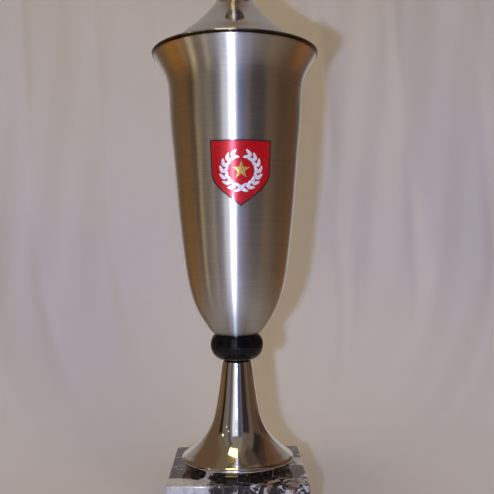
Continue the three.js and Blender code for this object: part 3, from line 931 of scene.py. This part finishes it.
def nut_mesh(name, across, height, hole, bottom, dome=0.0, columns=144):
    """A hexagon nut, with a round cap of radius dome over its hole if dome is given."""
    end, ease = 0.9, 0.3  # how far in the corners are trimmed, and the easing of the bore
    z = np.concatenate([np.linspace(0, end, 6), np.linspace(height - end, height, 6)])[:, None]
    cone = across / 2 - ease / 2 + np.minimum(z, height - z) / math.tan(math.radians(30))
    outside = np.minimum(hexagon(across, columns)[None], cone)

    def level(radius, height):
        return np.full((1, columns), radius), np.full((1, 1), height)

    rows = [level(hole, ease), level(hole + ease, 0), (outside, z)]
    if dome:
        cap = arc((0, height), (dome, dome), 0, 90, 14)
        rows += [(np.repeat(cap[:, :1], columns, 1), cap[:, 1:])]
        rows = [level(0, height + dome * 0.4), level(hole, height + dome * 0.4), *rows]
    else:
        rows += [level(hole + ease, height), level(hole, height - ease)]
    r = np.concatenate([row[0] for row in rows])
    h = np.concatenate([np.broadcast_to(row[1], row[0].shape) for row in rows]) + bottom
    return grid_mesh(name, round_axis(r, turns(columns), h), not dome)


def washer_mesh(name, node, hole, ease=0.2, columns=96):
    """A flat ring with its outer edges rolled off by the punch."""
    low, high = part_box(node)
    outer, thick = high.x / MM, (high.z - low.z) / MM
    low_edge = arc((outer - ease, ease), (ease, ease), -90, 0, 5)
    high_edge = arc((outer - ease, thick - ease), (ease, ease), 0, 90, 5)
    bore = [(hole + ease, thick), (hole, thick - ease), (hole, ease)]
    section = [(hole + ease, 0), *low_edge, *high_edge, *bore]
    return turned(name, section, low.z / MM, columns)


HALF_SLIT = 0.065  # half the spring washer's slit, in radians


def split_washer(name, node, hole, columns=96):
    """A ring cut by a slit: the section's corners carried round most of a turn, with closed ends."""
    low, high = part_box(node)
    outer = high.y / MM
    a = np.linspace(HALF_SLIT, 2 * math.pi - HALF_SLIT, columns)[:, None]
    bottom, top = low.z / MM, high.z / MM
    section = np.array([(hole, bottom), (outer, bottom), (outer, top), (hole, top)])
    ring = round_axis(section[:, 0], a, section[:, 1])
    ends = [np.broadcast_to(ring[k].mean(axis=0), (1, 4, 3)) for k in (0, -1)]
    return grid_mesh(name, np.concatenate([ends[1], ring[::-1], ends[0]]), False)


# %% Place the hardware
M6_THREAD, M4_THREAD = 3.1, 2.1  # the radii of the nuts' bores
for name, node, body, radius, pitch in (
    ("tie_rod_threaded", "tie_rod", "trophy", 3.0, 1.0),
    ("finial_stud_threaded", "finial_stud", "lid", 2.0, 0.7),
):
    screw = threaded_rod(name, radius, pitch, foot_of(node), top_of(node))
    piece(screw, zinc, body, "zinc_steel", node)
for name, node, material, body, slot, across, height, hole, dome in (
    ("base_nut_hex", "base_nut", zinc, "trophy", "zinc_steel", 10, 5, M6_THREAD, 0.0),
    ("finial_nut_hex", "finial_nut", zinc, "lid", "zinc_steel", 7, 3.2, M4_THREAD, 0.0),
    ("cap_nut_domed", "cap_nut", foot_chrome, "trophy", "polished_metal", 10, 5, M6_THREAD, 4.7),
):
    piece(nut_mesh(name, across, height, hole, foot_of(node), dome), material, body, slot, node)
for node, hole, material, body, slot in (
    ("base_washer", ROD_HOLE, zinc, "trophy", "zinc_steel"),
    ("bowl_washer", ROD_HOLE, zinc, "trophy", "zinc_steel"),
    ("seal_washer", ROD_HOLE, washer_nylon, "trophy", "nylon"),
    ("bowl_gasket", ROD_HOLE, gasket_rubber, "trophy", "rubber"),
    ("finial_washer", STUD_HOLE, zinc, "lid", "zinc_steel"),
):
    piece(washer_mesh(node + "_ring", node, hole), material, body, slot, node)
split_ring = split_washer("spring_washer_split", "spring_washer", ROD_HOLE)
piece(split_ring, zinc, "trophy", "zinc_steel", "spring_washer")
print("rod", round(top_of("tie_rod") - foot_of("tie_rod"), 1), "mm long")

# %% [markdown]
# ## The shield label
#
# The label and its print are thin plates that follow the bowl. Each is a pillow: an outline shrinks
# to its own middle on the back, comes out to full size, turns over the edge and shrinks again on the
# front. Flat points (across, up) are then wrapped: across becomes a turn around the bowl, and up a
# height where the bowl's radius is looked up. The design is a plain one: an open wreath round a star.

# %% Wrapping on the bowl
LABEL_TURN, LABEL_HALF = 4.7, 17.0  # degrees round the bowl from the front, and half its width
badge_low, badge_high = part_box("shield_badge")
label_middle = (badge_low.z + badge_high.z) / 2 / MM
label_tall = (badge_high.z - badge_low.z) / MM
middle_radius = np.interp(label_middle - bowl_z, bowl_line[:, 1], bowl_line[:, 0])


def wrap(flat, off):
    """(across, up) and a distance off the steel to (x, y, z) on the bowl's front."""
    height = flat[..., 1] + label_middle
    radius = np.interp(height - bowl_z, bowl_line[:, 1], bowl_line[:, 0]) + off
    turn = flat[..., 0] / middle_radius + math.radians(LABEL_TURN)
    return np.stack([radius * np.sin(turn), -radius * np.cos(turn), height], -1)


def layers(name, outline, scale, off, closed):
    """Copies of an outline, each with its scale about the middle and its distance off the steel."""
    middle = outline.mean(axis=0)
    flat = middle + np.asarray(scale)[:, None, None] * (outline - middle)[None]
    return grid_mesh(name, wrap(flat, np.asarray(off)[:, None]), closed)


def plate(name, outline, back, front, steps):
    """A thin plate: from the middle over the back, round the eased edge and in over the front."""
    scale = np.concatenate([np.linspace(0, 0.985, steps), [1, 1], np.linspace(0.985, 0, steps)])
    ease = (front - back) * 0.25
    off = np.repeat([back, back + ease, front - ease, front], [steps, 1, 1, steps])
    return layers(name, outline, scale, off, False)


def band(name, outline, outer, inner, back, front):
    """A printed line along an outline, between two of its scales."""
    return layers(name, outline, [inner, outer, outer, inner], [back, back, front, front], True)


def joined(name, meshes):
    """Several small meshes as one."""
    parts = [in_scene(name + "_part", mesh) for mesh in meshes]
    with bpy.context.temp_override(
        active_object=parts[0], selected_objects=parts, selected_editable_objects=parts
    ):
        bpy.ops.object.join()
    mesh = parts[0].data
    bpy.data.objects.remove(parts[0])
    mesh.name = name
    return mesh


print("label", round(label_tall, 1), "mm tall at radius", round(float(middle_radius), 1), "mm")


# %% [markdown]
# The outlines are short formulas. The shield's half width is a sine of the height below its middle and
# constant above it. A leaf is two arcs that meet in points. The star alternates two radii.


# %% Label outlines
def shield_outline(half_width, tall, count=80):
    """Counter-clockwise from the point: up the right side, over the top and down the left."""
    share = np.linspace(0.0, 1.0, count)
    width = half_width * np.sin(np.minimum(share / 0.5, 1) * math.pi / 2)
    right = np.stack([np.maximum(width, 0.03 * half_width), (share - 0.5) * tall], 1)
    across = np.linspace(half_width, -half_width, 40)[1:-1]
    top = np.stack([across, np.full_like(across, tall / 2)], 1)
    return np.concatenate([right, top, right[::-1] * (-1, 1)])


def leaf_outline(centre, angle, long, wide, count=14):
    """A leaf's two sides are (long cos a / 2, wide sin a (1 - 0.3 cos a) / 2), turned by angle."""
    a = np.arange(2 * count) * math.pi / count
    sharp = np.abs(np.sin(a)) ** 1.25 * np.sign(np.sin(a))
    shape = np.stack([long / 2 * np.cos(a), wide / 2 * sharp * (1 - 0.3 * np.cos(a))], 1)
    c, s = math.cos(angle), math.sin(angle)
    return shape @ np.array([[c, s], [-s, c]]) + centre


def star_outline(centre, outer, inner):
    """Ten points, alternately at two radii, starting at the top."""
    a = math.pi / 2 + np.arange(10) * math.pi / 5
    r = np.where(np.arange(10) % 2 == 0, outer, inner)
    return np.stack([r * np.cos(a), r * np.sin(a)], 1) + centre


FOIL_BACK, FOIL_FRONT = 0.2, 0.6  # off the steel
INK = (FOIL_FRONT - 0.05, FOIL_FRONT + 0.07)  # sunk a little into the foil, so that it holds
shield = shield_outline(LABEL_HALF, label_tall)
foil = plate("badge_label", shield, FOIL_BACK, FOIL_FRONT, 24)
piece(foil, red_ink, "trophy", "printed_foil", "shield_badge")
border = band("badge_border", shield, 0.995, 0.95, *INK)
piece(border, black_ink, "trophy", "printed_foil")

leaves = []
WREATH_RADIUS, WREATH_UP, LEAF_LONG, LEAF_WIDE = 9.6, 1.2, 4.6, 1.9
for swing in np.radians(np.linspace(-80, 68, 8)):
    for side in (-1, 1):
        for out, tilt in ((1.35, -0.5), (-1.2, 0.5)):
            spot = np.array([math.cos(swing), math.sin(swing)]) * (WREATH_RADIUS + out)
            outline = leaf_outline(spot, swing + math.pi / 2 + tilt, LEAF_LONG, LEAF_WIDE)
            # Mirroring turns an outline round, so on the left its points are taken backwards.
            outline = (outline * (side, 1) + (0, WREATH_UP))[::side]
            leaves.append(plate("leaf", outline, *INK, 4))
piece(joined("badge_wreath", leaves), white_ink, "trophy", "printed_foil")
star = plate("badge_star", star_outline((0, 1.6), 5.2, 2.1), *INK, 8)
piece(star, gold_ink, "trophy", "printed_foil")
print("wreath of", len(leaves), "leaves")

# %% [markdown]
# ## Floor and backdrop
#
# A pale cloth lies under the trophy and hangs close behind it. To look the same from every side the
# hanging cloth goes all the way round. Cloth is solid only on the side that faces the trophy, so a
# camera outside or below looks through its back. Soft folds are a sum of slow waves in the turn and the
# height, and a few sharper creases.


# %% Cloth
def stage_object(name, mesh, material):
    obj = in_scene(name, mesh)
    mesh.materials.append(material)
    return obj


def pale_cloth(name):
    """Cloth that is clear from behind: Backfacing mixes in a transparent shader."""
    material, n, shader = new_material(name)
    cloudy = n.noise(n.here(), 5.0, 3.0)["Fac"]
    colour = n.mix(cloudy, (0.7, 0.665, 0.66, 1), (0.76, 0.725, 0.72, 1))
    surface(n, shader, colour, 0.95, Specular_IOR_Level=0.1)
    solid = shader["Base Color"].node.outputs[0]
    output = solid.links[0].to_socket
    choose = n.add("ShaderNodeMixShader")
    n.link(n.add("ShaderNodeNewGeometry").outputs["Backfacing"], choose.inputs[0])
    n.link(solid, choose.inputs[1])
    n.link(n.add("ShaderNodeBsdfTransparent").outputs[0], choose.inputs[2])
    n.link(choose.outputs[0], output)
    return material


CLOTH_RADIUS, CLOTH_BEND, CLOTH_TOP = 275.0, 165.0, 1250.0
TABLE_RADIUS, FLOOR_RADIUS = 400.0, 2400.0
FOLD, CREASE = 2.4, 3.0  # how far the cloth moves in and out, in millimetres
low_turn = arc((CLOTH_RADIUS - CLOTH_BEND, CLOTH_BEND), (CLOTH_BEND, CLOTH_BEND), -90, 0, 24)
high = np.linspace(CLOTH_BEND, CLOTH_TOP, 120)[1:]
hang = np.concatenate([low_turn, np.stack([np.full_like(high, CLOTH_RADIUS), high], 1)])
a = turns(720)[None]
z = hang[:, 1:2]
wave = np.sin(9 * a + z / 150) + 0.8 * np.sin(17 * a - z / 95 + 1) + 0.5 * np.sin(41 * a + z / 60 + 2)
crease = np.maximum(np.sin(23 * a - z / 130 + 0.6), 0) ** 6 * np.sin(3 * a + z / 80)
radii = hang[:, 0:1] + np.clip(z / 150, 0, 1) * (FOLD * wave + CREASE * crease)
cloth = grid_mesh("cloth_hanging", round_axis(radii, a, z)[::-1], False)
hanging = stage_object("cloth_hanging", cloth, pale_cloth("hanging cloth"))
hanging.visible_glossy = False
hanging.visible_shadow = False


def flat_disc(name, radius, height):
    """Rings of points (r cos a, r sin a, height) from the rim to the middle, facing up."""
    r = np.array([1, 0.6, 0.3, 0])[:, None] * radius
    return grid_mesh(name, round_axis(r, turns(96), height), False)


flat_cloth = pale_cloth("lying cloth")
stage_object("cloth_table", flat_disc("cloth_table", TABLE_RADIUS, 0.0), flat_cloth)
ground = stage_object("cloth_floor", flat_disc("cloth_floor", FLOOR_RADIUS, -0.3), flat_cloth)
ground.visible_glossy = False
print("backdrop", CLOTH_RADIUS, "mm from the axis")

# %% [markdown]
# ## The room in the reflections
#
# Polished metal shows its surroundings more than its own colour, so the trophy needs a room to mirror.
# It is a large ball of soft glow, which the camera doesn't see. The ball starts as a warm ceiling over
# dim walls, and soft-edged panels are laid on it one after another: wooden doors, curtains, a window
# behind the camera, a dark passage. Each has a direction (0 is the camera's side, positive is to the
# right) and a height in degrees.

# %% Room glow
panels = [
    # turn, half width, low, high, soft edge, colour
    (-140, 8, -30, -1, 6, (0.17, 0.09, 0.05)),
    (-113, 19, -30, -1, 6, (0.31, 0.145, 0.035)),
    (-92, 8, -30, -1, 5, (0.22, 0.14, 0.07)),
    (-80, 5, -30, -1, 4, (0.2, 0.15, 0.09)),
    (-71, 4, -30, -1, 2, (0.64, 0.5, 0.35)),
    (-62, 4, -30, -1, 3, (0.22, 0.14, 0.1)),
    (-46, 12, -30, -1, 5, (0.36, 0.29, 0.24)),
    (-33, 5, -30, -1, 4, (0.22, 0.2, 0.24)),
    (60, 14, -30, -1, 6, (0.21, 0.13, 0.075)),
    (100, 30, -30, -1, 10, (0.155, 0.084, 0.05)),
    (128, 8, -30, -1, 6, (0.22, 0.095, 0.055)),
    (148, 8, -30, -1, 6, (0.28, 0.18, 0.12)),
    (-150, 9, -60, -13, 6, (0.25, 0.14, 0.1)),
    (-135, 7, -60, -13, 5, (0.22, 0.07, 0.03)),
    (-122, 6, -60, -13, 4, (0.46, 0.27, 0.06)),
    (-111, 6, -60, -13, 4, (0.68, 0.27, 0.002)),
    (-100, 5, -60, -13, 3, (0.62, 0.16, 0.001)),
    (-89, 5, -60, -13, 3, (0.82, 0.37, 0.1)),
    (-80, 4, -60, -13, 3, (0.26, 0.14, 0.03)),
    (-71, 3.6, -60, -13, 2, (1.8, 1.4, 0.8)),
    (-62, 4, -60, -13, 3, (0.14, 0.05, 0.01)),
    (-54, 4, -60, -13, 3, (0.22, 0.08, 0.04)),
    (-45, 3.6, -60, -13, 3, (1.2, 0.95, 0.66)),
    (-37, 4, -60, -13, 3, (0.36, 0.28, 0.26)),
    (-29, 3, -60, -13, 3, (0.3, 0.24, 0.27)),
    (59, 8, -60, -13, 6, (0.22, 0.13, 0.06)),
    (76, 9, -60, -13, 6, (0.17, 0.1, 0.05)),
    (95, 7, -60, -13, 5, (0.17, 0.09, 0.045)),
    (108, 5, -60, -13, 4, (0.26, 0.09, 0.03)),
    (120, 6, -60, -13, 4, (0.56, 0.2, 0.02)),
    (135, 8, -60, -13, 5, (0.72, 0.26, 0.03)),
    (152, 8, -60, -13, 6, (0.5, 0.34, 0.22)),
    (-112, 24, -1, 66, 8, (0.15, 0.092, 0.05)),
    (-80, 8, -1, 34, 3, (0.03, 0.017, 0.012)),
    (-54, 9, -1, 66, 3, (0.2, 0.18, 0.155)),
    (-38, 6, -1, 66, 3, (0.11, 0.1, 0.095)),
    (-26, 7, -1, 60, 4, (0.28, 0.27, 0.3)),
    (64, 9, -1, 52, 5, (0.16, 0.1, 0.07)),
    (92, 17, -1, 66, 8, (0.11, 0.068, 0.044)),
    (130, 22, -1, 66, 8, (0.085, 0.05, 0.036)),
    (118, 8, 22, 60, 6, (0.134, 0.07, 0.029)),
    (134, 9, 18, 60, 6, (0.165, 0.09, 0.062)),
    (105, 8, 30, 66, 6, (0.07, 0.035, 0.028)),
    (56, 14, 38, 68, 8, (0.15, 0.12, 0.105)),
    (88, 12, 32, 68, 7, (0.033, 0.023, 0.018)),
    (-11, 13, -60, 50, 4, (1.05, 1.05, 1.15)),
    (8, 6, -60, -1, 4, (0.42, 0.44, 0.75)),
    (20, 6, -60, -1, 5, (0.21, 0.2, 0.33)),
    (38, 13, -60, -1, 8, (0.07, 0.06, 0.07)),
    (11, 7, -1, 62, 3, (0.08, 0.12, 0.26)),
    (40, 15, -1, 40, 7, (0.036, 0.03, 0.036)),
    (-2, 26, 52, 80, 8, (0.27, 0.24, 0.2)),
    (78, 26, 66, 80, 10, (0.09, 0.066, 0.05)),
    (180, 30, -90, 20, 8, (0.52, 0.46, 0.44)),
    (180, 40, 16, 70, 16, (0.33, 0.3, 0.29)),
    (-69, 1.6, 38.4, 41.6, 1, (7, 6.2, 4.4)),
    (-43, 1.0, 35, 37, 1, (5, 4.6, 3.4)),
    (-6, 1.0, 37, 39, 1, (5, 4.6, 3.4)),
    (-52, 0.9, 25, 27, 1, (4, 3.8, 3.2)),
]
LOW_GLOW, MID_GLOW, TOP_GLOW = np.array([(0.2, 0.165, 0.14), (0.2, 0.14, 0.1), (0.19, 0.138, 0.088)])
ROOM_RADIUS, ROOM_COLUMNS, ROOM_ROWS = 3200.0, 720, 360
turn = np.linspace(-180, 180, ROOM_COLUMNS, endpoint=False)[None, :]
rise = np.linspace(-90, 90, ROOM_ROWS)[:, None]


def smooth(x):
    """The step t t (3 - 2 t) of x held between 0 and 1."""
    t = np.clip(x, 0, 1)
    return t * t * (3 - 2 * t)


def blended(a, b, share):
    return a * (1 - share) + b * share


up_share = smooth((rise + 10) / 70)[..., None]
down_share = smooth(-rise / 30)[..., None]
glow = blended(blended(MID_GLOW, TOP_GLOW, up_share), LOW_GLOW, down_share)
glow = np.broadcast_to(glow, (ROOM_ROWS, ROOM_COLUMNS, 3)).copy()
for middle, half, low, high, soft, colour in panels:
    aside = np.abs((turn - middle + 180) % 360 - 180)
    cover = smooth((half + soft / 2 - aside) / soft)
    cover = cover * smooth((rise - low + soft / 2) / soft) * smooth((high + soft / 2 - rise) / soft)
    glow += cover[..., None] * (np.array(colour) - glow)
turn, rise = np.broadcast_arrays(np.radians(turn), np.radians(rise))
ball = np.stack([np.cos(rise) * np.sin(turn), -np.cos(rise) * np.cos(turn), np.sin(rise)], 2)
ball_mesh = grid_mesh("room_glow", ball * ROOM_RADIUS, False)
paint = np.concatenate([glow[:1, 0], glow[1:-1].reshape(-1, 3), glow[-1:, 0]])  # poles: one point
layer = ball_mesh.color_attributes.new("glow", "FLOAT_COLOR", "POINT")
layer.data.foreach_set("color", np.concatenate([paint, np.ones((len(paint), 1))], 1).ravel())
room_light = bpy.data.materials.new("room glow")
room_light.use_nodes = True
room_light.node_tree.nodes.clear()
n = Nodes(room_light.node_tree)
emit = n.add("ShaderNodeEmission")
n.link(n.add("ShaderNodeVertexColor", layer_name="glow").outputs[0], emit.inputs[0])
n.link(emit.outputs[0], n.add("ShaderNodeOutputMaterial").inputs[0])
room_ball = stage_object("room_glow", ball_mesh, room_light)
room_ball.visible_camera = False
room_ball.visible_shadow = False
room_ball.visible_diffuse = False
print("room of", len(panels), "panels, mean glow", glow.mean(axis=(0, 1)).round(3).tolist())

# %% [markdown]
# ## Lamps
#
# A small cool flash just left of the lens draws the tall streak on the steel and the crisp shadow
# behind. A warm ceiling lamp gives the square highlight on the foot and lights the cloth from above, and
# a broad fill from the front right, which is kept out of the reflections, lifts the shadows.


# %% Lamps
def lamp(name, place, target, power, colour, size, mirrored=True):
    """A rectangular lamp at place that faces target, with its sides in millimetres."""
    light = bpy.data.lights.new(name, "AREA")
    light.shape = "RECTANGLE"
    light.energy = power
    light.color = colour
    light.size, light.size_y = size[0] * MM, size[1] * MM
    obj = in_scene(name, light)
    obj.location = Vector(place) * MM
    aim = Vector(target) * MM - obj.location
    obj.rotation_euler = aim.to_track_quat("-Z", "Y").to_euler()
    obj.visible_glossy = mirrored


lamp("flash", (-39, -427, 146), (0, 0, 150), 1.36, (0.5, 0.62, 1.0), (12, 8))
lamp("ceiling_lamp", (-185, -285, 1400), (-185, -285, 0), 1.85, (1.0, 0.77, 0.24), (340, 225))
lamp("side_fill", (450, -650, 750), (0, 0, 150), 2.5, (1.0, 0.78, 0.27), (500, 500), mirrored=False)
world = bpy.data.worlds.new("room")
world.use_nodes = True
world.node_tree.nodes["Background"].inputs[0].default_value = (0.09, 0.073, 0.035, 1)
bpy.context.scene.world = world
bpy.context.scene.view_settings.view_transform = "Standard"
print("lamps set")

# %% [markdown]
# ## The camera
#
# It stands a little over forty centimetres away, a hand above the middle of the trophy, and looks
# slightly up and to the right of the axis, with a small roll. Its three axes are worked out from those
# angles and written as a matrix.

# %% Camera
DISTANCE, EYE = 427.4, 127.8  # from the axis, and above the stone
yaw, pitch, roll = np.radians([0.88, 0.61, 0.41])
level = math.cos(pitch)
forward = np.array([math.sin(yaw) * level, math.cos(yaw) * level, math.sin(pitch)])
right = np.array([math.cos(yaw), -math.sin(yaw), 0])
up = np.cross(right, forward)
side = right * math.cos(roll) - up * math.sin(roll)
upright = up * math.cos(roll) + right * math.sin(roll)
eye = np.array([0, -DISTANCE, stone_top + EYE]) * MM
camera = bpy.data.cameras.new("camera")
camera.sensor_width = 36
camera.lens = 50.93
camera_object = in_scene("camera", camera)
pose = np.eye(4)
pose[:3, 0], pose[:3, 1], pose[:3, 2], pose[:3, 3] = side, upright, -forward, eye
camera_object.matrix_world = Matrix(pose.tolist())
bpy.context.scene.camera = camera_object
print("camera at", eye.round(3).tolist())
